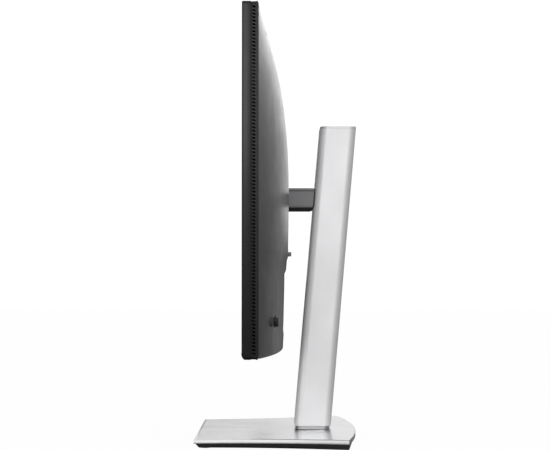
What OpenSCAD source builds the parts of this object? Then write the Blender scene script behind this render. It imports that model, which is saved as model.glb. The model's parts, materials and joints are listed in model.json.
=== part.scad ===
// Desktop monitor on a height-adjustable, tilting, swivelling and pivoting stand.
// Millimetres. +Z is up, the screen faces -Y, +X is to the right of someone facing the screen.
// The origin is the centre of the footprint on the desk.

/* [Display head] */
// Overall width of the display head
head_w = 610; // [540:1:640]
// Height of the head's bottom edge above the desk
head_z0 = 108; // [108:1:130]
// Height of the head itself
head_h = 357; // [350:1:365]
// Distance of the screen face in front of the stand's centre
face_y = -35.7; // [-40:0.1:-34]
// Depth of the front frame
bezel_d = 10.2; // [9:0.1:12]
// Width of the frame's lip along the top and sides
lip_w = 2.2; // [1.8:0.1:4]
// Height of the frame's lip along the bottom
chin_h = 13; // [10:0.5:20]
// Wall thickness of the plastic mouldings
wall = 2.2; // [1.8:0.1:3]
// Number of cooling slots along each side
side_vents = 98; // [60:1:110]
// Bulge of the rear cover behind its rim
dome_h = 35.3; // [30:0.1:40]

/* [Stand] */
// Width of the column
col_w = 62; // [58:1:70]
// Depth of the column
col_d = 43; // [41:0.5:44]
// Rearward lean of the column in degrees
lean = 5; // [4:0.1:6]
// Height of the column's top above the desk
col_top = 372; // [371:1:380]
// Height of the column's lower end above the desk
col_z0 = 14.8; // [14.6:0.1:16]
// Corner radius of the column
col_r = 9; // [7:0.5:11]
// Height of the tilt and pivot axes above the desk
axis_z = 286; // [285:0.5:287]

/* [Base] */
// Depth of the base from front to back
base_d = 186; // [180:1:190]
// Half of the base's width at its front edge
base_front = 122; // [115:1:130]
// Half of the base's width at its rear corners
base_rear = 147; // [140:1:150]
// How far the rear edge bows out behind its corners
base_bow = 14; // [8:1:18]
// Height of the base's top at its front edge
base_top_front = 10.1; // [9.8:0.1:10.6]
// Height of the base's top at its rear edge
base_top_rear = 12.8; // [12.4:0.1:13.2]

/* [Hidden] */
$fn = 64;

head_top = head_z0 + head_h;
head_mid = head_z0 + head_h / 2;
half_w = head_w / 2;
bezel_back = face_y + bezel_d;
vent_back = bezel_back + 6.6;
rim_y = bezel_back + 4.1;
crown_z = axis_z + 8;
step_top = head_z0 + 108;
// Share of dome_h below the step, from the bottom edge up to the step's top
low_shares = [[head_z0, 0.8], [head_z0 + 17, 0.822], [head_z0 + 35, 0.842], [head_z0 + 71, 0.869],
    [head_z0 + 90, 0.876], [head_z0 + 93, 0.908], [step_top - 4, 0.932], [step_top, 0.97]];
low_share = low_shares[4][1];
across_power = 2.55;
edge_x = half_w - 1.5;
gap = 0.3;
eps = 0.02;
big = 1000;

// Stack of the panel module, from the glass back, as distances behind the screen face
glass_t = 1.4;
glass_y = face_y + 1.6;
film_y = glass_y + glass_t + gap;
film_t = 0.6;
guide_y = film_y + film_t + 0.2;
guide_t = 3;
sheet_y = guide_y + guide_t + 0.2;
sheet_t = 0.4;
pan_y = sheet_y + sheet_t + 0.2;
pan_t = 0.8;
panel_w = head_w - 2 * lip_w - 2;
panel_z0 = head_z0 + chin_h - 2.5;
panel_z1 = head_top - lip_w - 0.6;
guide_z0 = panel_z0 + 5;

// Stand mount in the back of the head
pocket_hw = 60;
pocket_y = 0;
vesa_half = 50;
plate_hw = 42;
plate_hh = 56;

// Chassis plate behind the panel, its window, and the studs it shares with the panel's pan
chassis_y = -24.2;
chassis_t = 1;
chassis_hw = 160;
chassis_z0 = 146;
chassis_z1 = 410;
window_hw = 70;
window_z0 = 250;
window_z1 = 325;
stud_x = 120;
stud_dz = 70;
stud_r = 2;

// Steel box behind the wall mount, and the threaded bosses that stand on it
bracket_hw = 66;
bracket_hh = 62;
bracket_t = 1.6;
bracket_y0 = -23;
bracket_y1 = -3;
boss_r = 4.6;

// Circuit boards as [left, right, low, high], and how far in their screws stand
power_rect = [-156, -70, 222, 350];
main_rect = [70, 156, 205, 300];
board_inset = 4;
board_y = -15.6;
board_t = 1.6;
parts_y = board_y + board_t + 0.1;

// Connector recess under the mount
io_hw = 92;
io_z0 = 127;
io_z1 = 198;
io_y = -14.5;
port_mid = io_y + 10.2;

// Controls on the back, near the side edge
button_x = 242;
stick_x = 212;
control_z = 143;
button_r = 4;
stick_hole_r = 7.2;
release_z = axis_z - 66;
release_back = 17;
release_hw = 10;
release_gap = 0.8;

// Cover screws, security slot and power light
cover_screw_xs = [-230, 0, 230];
cover_screw_z = head_top - 19;
lock_x = -130;
lock_z = 135;
lock_w = 7;
lock_h = 3;
led_x0 = half_w - 36;
led_x1 = half_w - 30;
led_z0 = head_z0 + 4;
led_z1 = led_z0 + 1.2;

// Column axis: the middle of the column at its lower end
foot_y = 41.75;
col_len = (col_top - col_z0) / cos(lean);
col_wall = 2.4;
slot_hw = 11;
cable_hole_s = 70;
cable_hole_w = 30;
cable_hole_h = 28;
cable_hole_r = 5;
tilt_y = 21.3;
hub_r = 9;
shaft_r = 4;
ear_x = 12.8;
ear_t = 3.2;
arm_hw = 9.9;
neck_top = axis_z + 12.35;
neck_bot = axis_z - 13.15;
neck_hw = 27.5;
arm_s = (axis_z - col_z0) / cos(lean);
drum_s = arm_s - 38;
drum_y = -1.5;
drum_r = 14.4;
rod_x = 18;
rod_y = 4;
rod_r = 3;
bush_r = 5;
bush_l = 11.5;
base_y0 = -93.4;
base_y1 = base_y0 + base_d;
swivel_r = 12;
plate_low_front = 5.9;
plate_low_rear = 7.4;
tray_z = 1;
tray_inset = 2;
washer_z = 3.9;
foot_recess_z = 10.9;
foot_disc_r = 18.8;
thumb_r = 17;
// Shadow line at the column's lower end: how far it is set in, and how low it reaches
rebate = 0.5;
rebate_z = 12.9;

function base_half(y) = let(t = (y - base_y0) / (base_d - base_bow))
    base_front + (base_rear - base_front) * pow(max(t, 0), 2.2);
function base_outline(inset) = let(
        y0 = base_y0 + inset,
        yc = base_y1 - base_bow,
        side = [for (i = [0:10]) let(y = y0 + (yc - y0) * i / 10) [base_half(y) - inset, y]],
        back = [for (i = [9:-1:1]) let(x = (base_rear - inset) * i / 10)
            [x, base_y1 - inset - (base_bow - inset) * pow(x / (base_rear - inset), 2)]])
    concat(side, back, [[0, base_y1 - inset]],
        [for (i = [len(back) - 1:-1:0]) [-back[i][0], back[i][1]]],
        [for (i = [10:-1:0]) [-side[i][0], side[i][1]]]);

// Bulge of the rear cover as a share of dome_h, up the height and across the width
function bulge_up(z) = z >= crown_z ? sqrt(max(0, 1 - pow((z - crown_z) / (head_top - crown_z), 2)))
    : z >= step_top ? 1 - 0.03 * pow((crown_z - z) / (crown_z - step_top), 2)
    : lookup(z, low_shares);
function bulge_across(x) = 1 - pow(abs(x) / edge_x, across_power);
// Depth at which the finished surface of the cover lies
function cover_y(x, z) = vent_back + (rim_y + dome_h * bulge_up(z) - vent_back) * bulge_across(x);
function screw_places() = [for (sx = [-1, 1], p = [[88, -70], [100, 0], [104, 60]]) [sx * p[0], p[1]]];
function up_levels() = concat([for (row = low_shares) row[0]], [head_z0 + 142],
    [for (a = [0:9:81]) crown_z + (head_top - crown_z) * sin(a)],
    [head_top - 0.6]);

module block(x0, x1, y0, y1, z0, z1) {
    translate([x0, y0, z0])
        cube([x1 - x0, y1 - y0, z1 - z0]);
}
module disc_y(x, z, y0, y1, r) {
    translate([x, y0, z])
        rotate([-90, 0, 0])
            cylinder(h = y1 - y0, r = r);
}
module disc_x(x0, x1, y, z, r) {
    translate([x0, y, z])
        rotate([0, 90, 0])
            cylinder(h = x1 - x0, r = r);
}
module ring_y(x, z, y0, y1, r_out, r_in) {
    difference() {
        disc_y(x, z, y0, y1, r_out);
        disc_y(x, z, y0 - 1, y1 + 1, r_in);
    }
}
module round_rect(w, d, r) {
    union() {
        square([w - 2 * r, d], center = true);
        square([w, d - 2 * r], center = true);
        for (sx = [-1, 1], sy = [-1, 1])
            translate([sx * (w / 2 - r), sy * (d / 2 - r)])
                circle(r = r);
    }
}
// The head's outline, drawn in X and Z, as a plate between two depths
module head_slab(inset, y0, y1, r) {
    translate([0, y1, head_mid])
        rotate([90, 0, 0])
            linear_extrude(y1 - y0)
                round_rect(head_w - 2 * inset, head_h - 2 * inset, r);
}
module vesa_corners() {
    for (sx = [-1, 1], sz = [-1, 1])
        translate([sx * vesa_half, 0, axis_z + sz * vesa_half])
            children();
}
// Moves a shape from the column's own upright frame into its leaning place
module leaning() {
    translate([0, foot_y, col_z0])
        rotate([-lean, 0, 0])
            children();
}

module front_bezel() {
    color([0.16, 0.16, 0.17])
        difference() {
            head_slab(0, face_y, bezel_back, 3);
            block(-half_w + lip_w, half_w - lip_w, face_y - 1, bezel_back + 1,
                head_z0 + chin_h, head_top - lip_w);
            block(-half_w + 1.6, half_w - 1.6, face_y + 1.4, bezel_back + 1,
                head_z0 + 1.8, head_top - 1.6);
            block(led_x0 - 0.1, led_x1 + 0.1, face_y - 1, face_y + 2, led_z0 - 0.1, led_z1 + 0.1);
        }
}
module lcd_panel() {
    color([0.03, 0.03, 0.04])
        block(-panel_w / 2, panel_w / 2, glass_y, glass_y + glass_t, panel_z0, panel_z1);
}
module optical_films() {
    color([0.9, 0.9, 0.92])
        block(-panel_w / 2 + 3, panel_w / 2 - 3, film_y, film_y + film_t, guide_z0, panel_z1 - 3);
}
module light_guide() {
    color([0.8, 0.9, 0.95, 0.6])
        block(-panel_w / 2 + 3, panel_w / 2 - 3, guide_y, guide_y + guide_t, guide_z0, panel_z1 - 3);
}
module led_bar() {
    count = 48;
    pitch = (panel_w - 30) / count;
    color([0.95, 0.93, 0.75])
        union() {
            block(-panel_w / 2 + 8, panel_w / 2 - 8, guide_y, guide_y + guide_t,
                guide_z0 - 2.4, guide_z0 - 1.2);
            for (i = [0:count - 1])
                translate([(i - (count - 1) / 2) * pitch, 0, 0])
                    block(-1.8, 1.8, guide_y + 0.5, guide_y + guide_t - 0.5,
                        guide_z0 - 1.2, guide_z0 - 0.3);
        }
}
module reflector_sheet() {
    color("white")
        block(-panel_w / 2 + 3, panel_w / 2 - 3, sheet_y, sheet_y + sheet_t, guide_z0, panel_z1 - 3);
}
module panel_pan() {
    color([0.72, 0.73, 0.75])
        difference() {
            block(-panel_w / 2 + 1, panel_w / 2 - 1, film_y, pan_y + pan_t, panel_z0 + 1.4, panel_z1 - 1);
            block(-panel_w / 2 + 1.8, panel_w / 2 - 1.8, film_y - 1, pan_y, panel_z0 + 2.2, panel_z1 - 1.8);
            for (sx = [-1, 1], sz = [-1, 1])
                disc_y(sx * stud_x, head_mid + sz * stud_dz, pan_y - 1, pan_y + 2, stud_r);
        }
}
module source_board() {
    color([0.1, 0.35, 0.2])
        union() {
            block(-200, 200, pan_y + pan_t + 0.2, pan_y + pan_t + 1.2, panel_z0 + 6, panel_z0 + 20);
            for (i = [-3:3])
                block(i * 56 - 5, i * 56 + 5, pan_y + pan_t + 1.2, pan_y + pan_t + 1.9,
                    panel_z0 + 9, panel_z0 + 14);
            block(-14, 14, pan_y + pan_t + 1.2, pan_y + pan_t + 1.9, panel_z0 + 15, panel_z0 + 19);
        }
}
module driver_flexes() {
    back = pan_y + pan_t + 1.2;
    color([0.75, 0.5, 0.15])
        for (i = [-2.5:2.5])
            translate([i * 66, 0, 0])
                union() {
                    block(-16, 16, glass_y + glass_t - 0.3, back, panel_z0 - 0.5, panel_z0 - 0.2);
                    block(-16, 16, back, back + 0.2, panel_z0 - 0.5, panel_z0 + 8);
                }
}
module vent_frame() {
    pitch = (head_h - 9) / side_vents;
    slot_h = pitch * 0.56;
    color([0.13, 0.13, 0.14])
        difference() {
            union() {
                head_slab(0.4, bezel_back, vent_back - 2.4, 3);
                head_slab(0, vent_back - 2.4, vent_back - 0.8, 3);
                head_slab(0.8, vent_back - 0.8, vent_back, 3);
            }
            head_slab(3.4, bezel_back - 1, vent_back + 1, 2);
            translate([0, bezel_back + 3.3, 0])
                rotate([90, 0, 0])
                    linear_extrude(2.9)
                        for (i = [0:side_vents - 1], sx = [-1, 1])
                            translate([sx * half_w, head_z0 + 4.5 + (i + 0.5) * pitch])
                                square([9, slot_h], center = true);
        }
}
function across_outline(inset, share) = let(half = edge_x - inset, steps = 14,
        depth = rim_y + (dome_h - inset) * share - vent_back)
    concat([[-half, rim_y]],
        [for (i = [-steps:steps]) let(x = half * sin(90 * i / steps))
            [x, vent_back + depth * bulge_across(x * edge_x / half)]],
        [[half, rim_y]]);
function up_outline(inset) = let(low = head_z0 + 0.6 + inset)
    concat([[rim_y, low]],
        [for (z = up_levels())
            [rim_y + (dome_h - inset) * bulge_up(z), max(low, z > crown_z ? z - inset : z)]],
        [[rim_y, head_top - 0.6 - inset]]);
// Solid between the vent frame and the outer surface of the cover, made smaller all round by inset
module cover_solid(inset) {
    split = low_shares[4][0] - 0.5 + inset;
    intersection() {
        translate([-half_w, 0, 0])
            rotate([90, 0, 90])
                linear_extrude(2 * half_w)
                    polygon(up_outline(inset));
        union() {
            translate([0, 0, split])
                linear_extrude(head_top - split)
                    polygon(across_outline(inset, 1));
            translate([0, 0, head_z0])
                linear_extrude(split - head_z0)
                    polygon(across_outline(inset, low_share));
        }
        block(-half_w, half_w, vent_back + (inset > 0 ? -1 : eps), big, head_z0, head_top);
    }
}
module mount_pocket(grow) {
    block(-pocket_hw - grow, pocket_hw + grow, pocket_y - grow, big,
        axis_z - pocket_hw - grow, axis_z + pocket_hw + grow);
}
module io_recess(grow) {
    block(-io_hw - grow, io_hw + grow, io_y - grow, big, io_z0 - grow, io_z1 + grow);
}
module rear_cover() {
    color([0.2, 0.2, 0.21])
        difference() {
            union() {
                difference() {
                    cover_solid(0);
                    cover_solid(wall);
                }
                intersection() {
                    cover_solid(wall / 2);
                    union() {
                        difference() {
                            mount_pocket(wall);
                            mount_pocket(0);
                        }
                        difference() {
                            io_recess(wall);
                            io_recess(0);
                        }
                    }
                }
            }
            mount_pocket(0);
            io_recess(0);
            block(-io_hw + 4, io_hw - 4, io_y + 0.2, io_y + 20.4, io_z1 - 1, io_z1 + wall + 1);
            vesa_corners()
                disc_y(0, 0, pocket_y - 8, pocket_y + 1, 5);
            disc_y(0, axis_z, pocket_y - 8, pocket_y + 1, 14);
            disc_y(button_x, control_z, -30, 20, button_r + 0.3);
            disc_y(stick_x, control_z, -30, 20, stick_hole_r);
            block(lock_x - lock_w / 2, lock_x + lock_w / 2, -10, 30, lock_z - lock_h / 2, lock_z + lock_h / 2);
            block(-release_hw - release_gap, release_hw + release_gap, pocket_y - 8, 30,
                release_z - 5.6, release_z + 3.2);
            for (x = cover_screw_xs)
                disc_y(x, cover_screw_z, -30, 30, 3.6);
        }
}
module chassis_plate() {
    color([0.75, 0.76, 0.78])
        difference() {
            block(-chassis_hw, chassis_hw, chassis_y, chassis_y + chassis_t, chassis_z0, chassis_z1);
            block(-window_hw, window_hw, chassis_y - 1, chassis_y + 2, window_z0, window_z1);
            for (sx = [-1, 1], sz = [-1, 1])
                disc_y(sx * stud_x, head_mid + sz * stud_dz, chassis_y - 1, chassis_y + 2, stud_r);
        }
}
module vesa_bracket() {
    inner_hw = bracket_hw - bracket_t;
    inner_y0 = bracket_y0 + bracket_t;
    inner_y1 = bracket_y1 - bracket_t;
    low = axis_z - bracket_hh;
    high = axis_z + bracket_hh;
    color([0.68, 0.69, 0.71])
        difference() {
            union() {
                block(-bracket_hw, bracket_hw, bracket_y0, inner_y0, low, high);
                block(-bracket_hw, -inner_hw, inner_y0, inner_y1, low, high);
                block(inner_hw, bracket_hw, inner_y0, inner_y1, low, high);
                block(-bracket_hw, bracket_hw, inner_y1, bracket_y1, low, high);
                vesa_corners()
                    disc_y(0, 0, pocket_y - 12, pocket_y - 0.2, boss_r);
            }
            vesa_corners()
                disc_y(0, 0, -12.5, 1, 2);
            disc_y(0, axis_z, -5, -2, 13);
        }
}
function rect_corners(rect) = [for (x = [rect[0] + board_inset, rect[1] - board_inset],
    z = [rect[2] + board_inset, rect[3] - board_inset]) [x, z]];
module board_blank(rect) {
    block(rect[0], rect[1], board_y, board_y + board_t, rect[2], rect[3]);
}
module power_board() {
    color([0.55, 0.42, 0.2])
        difference() {
            board_blank(power_rect);
            for (p = rect_corners(power_rect))
                disc_y(p[0], p[1], board_y - 1, board_y + 3, 1.7);
        }
}
module power_components() {
    color([0.85, 0.75, 0.3])
        union() {
            block(-128, -98, parts_y, -2, 262, 290);
            block(-122, -104, parts_y, -0.5, 257, 262);
            block(-122, -104, parts_y, -0.5, 290, 295);
        }
    color([0.15, 0.2, 0.45]) {
        disc_y(-86, 242, parts_y, -1, 7);
        for (i = [0:2])
            disc_y(-84, 300 + 13 * i, parts_y, -4, 5);
    }
    color([0.8, 0.81, 0.83])
        for (z = [236, 312])
            union() {
                block(-146, -116, parts_y, -12.4, z, z + 24);
                for (i = [0:4])
                    block(-146, -116, -12.4, -3, z + 0.6 + 5.2 * i, z + 2 + 5.2 * i);
            }
}
module main_board() {
    color([0.08, 0.3, 0.16])
        difference() {
            board_blank(main_rect);
            for (p = rect_corners(main_rect))
                disc_y(p[0], p[1], board_y - 1, board_y + 3, 1.7);
        }
}
module board_chips() {
    color([0.08, 0.08, 0.09])
        union() {
            block(100, 126, parts_y, parts_y + 1.7, 240, 266);
            block(134, 146, parts_y, parts_y + 1.3, 246, 258);
            block(80, 92, parts_y, parts_y + 2.5, 272, 286);
        }
}
function board_corners() = concat(rect_corners(power_rect), rect_corners(main_rect));
module board_standoffs() {
    color([0.8, 0.65, 0.3])
        for (p = board_corners())
            ring_y(p[0], p[1], chassis_y + chassis_t + 0.1, board_y - 0.1, 3.2, 1.25);
}
module board_screws() {
    color([0.7, 0.7, 0.72])
        for (p = board_corners())
            union() {
                disc_y(p[0], p[1], -20, parts_y, 1.2);
                disc_y(p[0], p[1], parts_y, parts_y + 1.7, 2.9);
            }
}
module power_cable() {
    color([0.1, 0.1, 0.1])
        union() {
            block(-66, 66, -19.6, -17.2, 204, 209);
            block(-66, -60, -19.6, -14.6, 209.1, 214);
            block(60, 66, -19.6, -14.6, 209.1, 214);
        }
}
module panel_cable() {
    color([0.85, 0.85, 0.8])
        union() {
            block(16, 34, -22.6, -22.2, 142, 203);
            block(34, 100, -22.6, -22.2, 190, 203);
        }
}
module io_plate() {
    color([0.6, 0.61, 0.63])
        difference() {
            block(-io_hw + 4.2, io_hw - 4.2, io_y + 0.3, io_y + 20.3, io_z1, io_z1 + 1);
            for (p = port_list())
                block(p[0] - p[1] / 2 - 0.2, p[0] + p[1] / 2 + 0.2, port_mid - p[2] / 2 - 0.2,
                    port_mid + p[2] / 2 + 0.2, io_z1 - 1, io_z1 + 2);
        }
}
// Connectors along the recess: centre X, width and depth of the shell
function port_list() = [[-66, 27, 19], [-30, 15.4, 6], [-6, 17, 6.2], [25, 31, 12.4],
    [54, 12, 11], [71, 14.6, 7]];
// A downward-facing connector shell with its cavity
module socket(p, height, shell_t) {
    difference() {
        block(p[0] - p[1] / 2, p[0] + p[1] / 2, port_mid - p[2] / 2, port_mid + p[2] / 2,
            io_z1 - 0.6, io_z1 + height);
        block(p[0] - p[1] / 2 + shell_t, p[0] + p[1] / 2 - shell_t, port_mid - p[2] / 2 + shell_t,
            port_mid + p[2] / 2 - shell_t, io_z1 - 1, io_z1 + height - 2);
    }
}
module ac_inlet() {
    p = port_list()[0];
    color([0.08, 0.08, 0.08])
        union() {
            socket(p, 18, 1.5);
            for (x = [-7, 0, 7])
                block(p[0] + x - 1, p[0] + x + 1, port_mid - 2 + (x == 0 ? 4 : -3),
                    port_mid + 2 + (x == 0 ? 4 : -3), io_z1 + 2, io_z1 + 16.5);
        }
}
module hdmi_port() {
    p = port_list()[1];
    color([0.7, 0.7, 0.72])
        union() {
            socket(p, 11, 0.5);
            block(p[0] - 5.5, p[0] + 5.5, port_mid - 0.5, port_mid + 0.5, io_z1 + 1, io_z1 + 9.5);
        }
}
module displayport() {
    p = port_list()[2];
    color([0.7, 0.7, 0.72])
        union() {
            socket(p, 11, 0.5);
            block(p[0] - 6.5, p[0] + 6.5, port_mid - 0.5, port_mid + 0.5, io_z1 + 1, io_z1 + 9.5);
        }
}
module vga_port() {
    p = port_list()[3];
    color([0.1, 0.2, 0.55])
        difference() {
            union() {
                block(p[0] - p[1] / 2, p[0] + p[1] / 2, port_mid - p[2] / 2, port_mid + p[2] / 2,
                    io_z1 - 0.6, io_z1 + 9);
                block(p[0] - 8.2, p[0] + 8.2, port_mid - 3.9, port_mid + 3.9, io_z1 - 5.5, io_z1 - 0.6);
                for (sx = [-1, 1])
                    translate([p[0] + sx * 12.5, port_mid, io_z1 - 5])
                        cylinder(h = 4.6, r = 2.4, $fn = 6);
            }
            for (row = [-1:1], i = [-2:2])
                translate([p[0] + i * 2.3 + row * 1.1, port_mid + row * 2, io_z1 - 6])
                    cylinder(h = 4, r = 0.5);
            for (sx = [-1, 1])
                translate([p[0] + sx * 12.5, port_mid, io_z1 - 5.5])
                    cylinder(h = 6, r = 1.3);
        }
}
module usb_upstream() {
    p = port_list()[4];
    color([0.72, 0.72, 0.74])
        union() {
            socket(p, 14, 1);
            block(p[0] - 2.8, p[0] + 2.8, port_mid - 1.6, port_mid + 1.6, io_z1 + 1, io_z1 + 12.5);
        }
}
module usb_downstream() {
    p = port_list()[5];
    color([0.72, 0.72, 0.74])
        union() {
            socket(p, 14, 0.6);
            block(p[0] - 5.5, p[0] + 5.5, port_mid + 0.6, port_mid + 2, io_z1 + 1, io_z1 + 12.5);
        }
}

// Where the cover's surface lies at the two controls
button_face = cover_y(button_x, control_z);
stick_face = cover_y(stick_x, control_z);

module control_board() {
    color([0.1, 0.35, 0.2])
        block(stick_x - 10, button_x + 8, -17.6, -16.2, control_z - 9, control_z + 9);
}
module power_button() {
    color([0.12, 0.12, 0.13])
        union() {
            disc_y(button_x, control_z, -14.4, button_face + 1.2, button_r);
            disc_y(button_x, control_z, -14.4, -13.2, 5.6);
        }
}
module power_led() {
    color([0.9, 0.92, 0.95])
        block(led_x0, led_x1, face_y + 0.2, face_y + 1.4 - eps, led_z0, led_z1);
}
module joystick_base() {
    color([0.2, 0.2, 0.2])
        difference() {
            block(stick_x - 7.5, stick_x + 7.5, -16, -9, control_z - 7.5, control_z + 7.5);
            disc_y(stick_x, control_z, -15, -8, 6.2);
        }
}
module joystick_gimbal() {
    color([0.5, 0.5, 0.5])
        union() {
            ring_y(stick_x, control_z, -11.6, -9.6, 5.2, 4);
            for (sz = [-1, 1])
                translate([stick_x, -10.6, control_z + sz * 5.55])
                    cylinder(h = 0.9, r = 0.7, center = true);
        }
}
module joystick_pivot() {
    color([0.6, 0.6, 0.6])
        union() {
            ring_y(stick_x, control_z, -11.6, -9.6, 3, 1.65);
            for (sx = [-1, 1])
                translate([stick_x + sx * 3.35, -10.6, control_z])
                    rotate([0, 90, 0])
                        cylinder(h = 0.9, r = 0.7, center = true);
        }
}
module joystick_cap() {
    color([0.1, 0.1, 0.1])
        union() {
            disc_y(stick_x, control_z, -12.4, stick_face - 0.4, 1.6);
            disc_y(stick_x, control_z, stick_face - 0.6, stick_face + 3.6, 5);
        }
}
module cover_screws() {
    color([0.25, 0.25, 0.26])
        for (x = cover_screw_xs)
            union() {
                disc_y(x, cover_screw_z, -21, -14.6, 1.5);
                disc_y(x, cover_screw_z, -14.6, -12.6, 3);
            }
}
module latch_body() {
    color([0.3, 0.3, 0.31])
        difference() {
            block(-16, 16, -16.8, -4.8, release_z - 9.4, release_z - 0.2);
            block(-release_hw - release_gap, release_hw + release_gap, -14, -4, release_z - 11, release_z + 1);
        }
}
module release_button() {
    color([0.1, 0.1, 0.1])
        union() {
            block(-release_hw, release_hw, -3.9, release_back, release_z - 2.5, release_z + 2.5);
            block(-release_hw, release_hw, -3.9, -1.6, release_z - 5, release_z - 2.5);
        }
}
module mount_plate() {
    color([0.25, 0.25, 0.26])
        difference() {
            block(-plate_hw, plate_hw, pocket_y + 0.4, pocket_y + 3.4,
                axis_z - plate_hh, axis_z + plate_hh);
            disc_y(0, axis_z, pocket_y - 1, pocket_y + 5, hub_r + 0.02);
        }
}
module pivot_hub() {
    color([0.6, 0.61, 0.63])
        union() {
            disc_y(0, axis_z, pocket_y - 2.2, pocket_y + 0.4, 12);
            disc_y(0, axis_z, pocket_y + 0.4, pocket_y + 7.4, hub_r);
            disc_y(0, axis_z, pocket_y + 7.3, pocket_y + 8.8, 11);
        }
}
module tilt_bracket() {
    color([0.35, 0.35, 0.36])
        difference() {
            union() {
                disc_y(0, axis_z, pocket_y + 3.6, pocket_y + 7.2, 34);
                for (sx = [-1, 1]) {
                    x0 = sx * ear_x - ear_t / 2;
                    block(x0, x0 + ear_t, pocket_y + 7, tilt_y, axis_z - 5, axis_z + 5);
                    disc_x(x0, x0 + ear_t, tilt_y, axis_z, 8);
                }
            }
            disc_y(0, axis_z, pocket_y, pocket_y + 9, hub_r + 0.06);
            disc_x(-30, 30, tilt_y, axis_z, shaft_r + 0.05);
        }
}
module tilt_shaft() {
    color([0.7, 0.7, 0.72])
        union() {
            disc_x(-20, 20, tilt_y, axis_z, shaft_r);
            for (sx = [-1, 1])
                translate([sx * 18, tilt_y, axis_z])
                    rotate([0, 90, 0])
                        cylinder(h = 4, r = 6.2, center = true, $fn = 6);
        }
}
module friction_washers() {
    color([0.8, 0.66, 0.35])
        for (x = [-15.4, -11, 10.2, 14.6])
            difference() {
                disc_x(x, x + 0.8, tilt_y, axis_z, 7.4);
                disc_x(x - 1, x + 2, tilt_y, axis_z, shaft_r + 0.05);
            }
}
module tilt_spring() {
    color([0.6, 0.6, 0.62])
        for (i = [0:7])
            translate([-9.2 + i * 0.95, tilt_y, axis_z])
                rotate([0, 90, 0])
                    rotate_extrude()
                        translate([5, 0])
                            circle(r = 0.42);
}
// The neck's outline from the side: round at the tilt axis, cut parallel to the column at the back
module neck_profile(inset) {
    half = (neck_top - neck_bot) / 2 - inset;
    union() {
        translate([tilt_y, 0])
            circle(r = half);
        translate([tilt_y, -half])
            square([50, 2 * half]);
    }
}
module neck_cover() {
    color([0.2, 0.2, 0.21])
        difference() {
            translate([-neck_hw, 0, (neck_top + neck_bot) / 2])
                rotate([90, 0, 90])
                    linear_extrude(2 * neck_hw)
                        neck_profile(0);
            translate([-neck_hw + 2, 0, (neck_top + neck_bot) / 2])
                rotate([90, 0, 90])
                    linear_extrude(2 * neck_hw - 4)
                        neck_profile(1.8);
            block(-neck_hw + 2, neck_hw - 2, 0, tilt_y - 4, axis_z - 9.9, axis_z + 9.9);
            block(-big, big, -1, pocket_y + 11.4, 200, 400);
            leaning()
                translate([0, 0, -20])
                    linear_extrude(500)
                        round_rect(col_w + 1.2, col_d + 1.2, col_r + 0.6);
        }
}
module carriage() {
    color([0.45, 0.45, 0.46])
        difference() {
            union() {
                leaning()
                    translate([-26, -12, arm_s - 50])
                        cube([52, 24, 59]);
                intersection() {
                    block(-arm_hw, arm_hw, tilt_y, 60, axis_z - 8, axis_z + 8);
                    leaning()
                        translate([-arm_hw, -60, arm_s - 60])
                            cube([2 * arm_hw, 60, 90]);
                }
                disc_x(1.5, arm_hw, tilt_y, axis_z, 8);
            }
            disc_x(-12, 12, tilt_y, axis_z, shaft_r + 0.02);
            disc_x(-11, -1.2, tilt_y, axis_z, 11);
            leaning()
                for (sx = [-1, 1])
                    translate([sx * rod_x, rod_y, arm_s - 60])
                        cylinder(h = 90, r = bush_r + 0.02);
            leaning()
                translate([-10, -21, arm_s - 60])
                    cube([20, 42, 38]);
            leaning()
                translate([-12.5, drum_y, drum_s])
                    rotate([0, 90, 0])
                        cylinder(h = 25, r = 3.06);
        }
}
module slide_bushes() {
    color([0.9, 0.88, 0.8])
        leaning()
            for (sx = [-1, 1], s = [arm_s - 49.5, arm_s - 2.8])
                translate([sx * rod_x, rod_y, s])
                    difference() {
                        cylinder(h = bush_l, r = bush_r);
                        translate([0, 0, -1])
                            cylinder(h = bush_l + 2.5, r = rod_r + 0.05);
                    }
}
module spring_drum() {
    color([0.25, 0.25, 0.26])
        leaning()
            translate([0, drum_y, drum_s])
                rotate([0, 90, 0])
                    union() {
                        cylinder(h = 16, r = drum_r, center = true);
                        cylinder(h = 24, r = 3, center = true);
                    }
}
module spring_band() {
    color([0.62, 0.63, 0.66])
        leaning()
            translate([-7, drum_y + drum_r + 0.05, drum_s])
                cube([14, 0.3, col_len - drum_s - 8]);
}
module guide_rods() {
    color([0.8, 0.8, 0.82])
        leaning()
            for (sx = [-1, 1])
                translate([sx * rod_x, rod_y, 32])
                    cylinder(h = col_len - 38, r = rod_r);
}
module level_cut(z0, z1) {
    block(-big, big, -big, big, z0, z1);
}
// A length of the leaning column between two levels, drawn in all round by inset
module column_length(inset, z0, z1) {
    intersection() {
        leaning()
            translate([0, 0, -10])
                linear_extrude(col_len + 20)
                    round_rect(col_w - 2 * inset, col_d * cos(lean) - 2 * inset, col_r - inset);
        level_cut(z0, z1);
    }
}
module column() {
    color([0.78, 0.79, 0.8])
        difference() {
            union() {
                column_length(0, col_z0, col_top - 2.6);
                column_length(rebate, rebate_z, col_z0 + eps);
            }
            leaning()
                translate([0, 0, -20])
                    linear_extrude(col_len + 40)
                        round_rect(col_w - 2 * col_wall, col_d * cos(lean) - 2 * col_wall,
                            col_r - col_wall);
            leaning()
                translate([-slot_hw, -40, 172])
                    cube([2 * slot_hw, 40, 400]);
            leaning()
                translate([0, -40, cable_hole_s])
                    rotate([-90, 0, 0])
                        linear_extrude(80)
                            round_rect(cable_hole_w, cable_hole_h, cable_hole_r);
        }
}
module column_cap() {
    color([0.78, 0.79, 0.8])
        union() {
            column_length(0, col_top - 2.4, col_top);
            column_length(col_wall + 0.2, col_top - 4, col_top - 2.4);
        }
}
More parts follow.
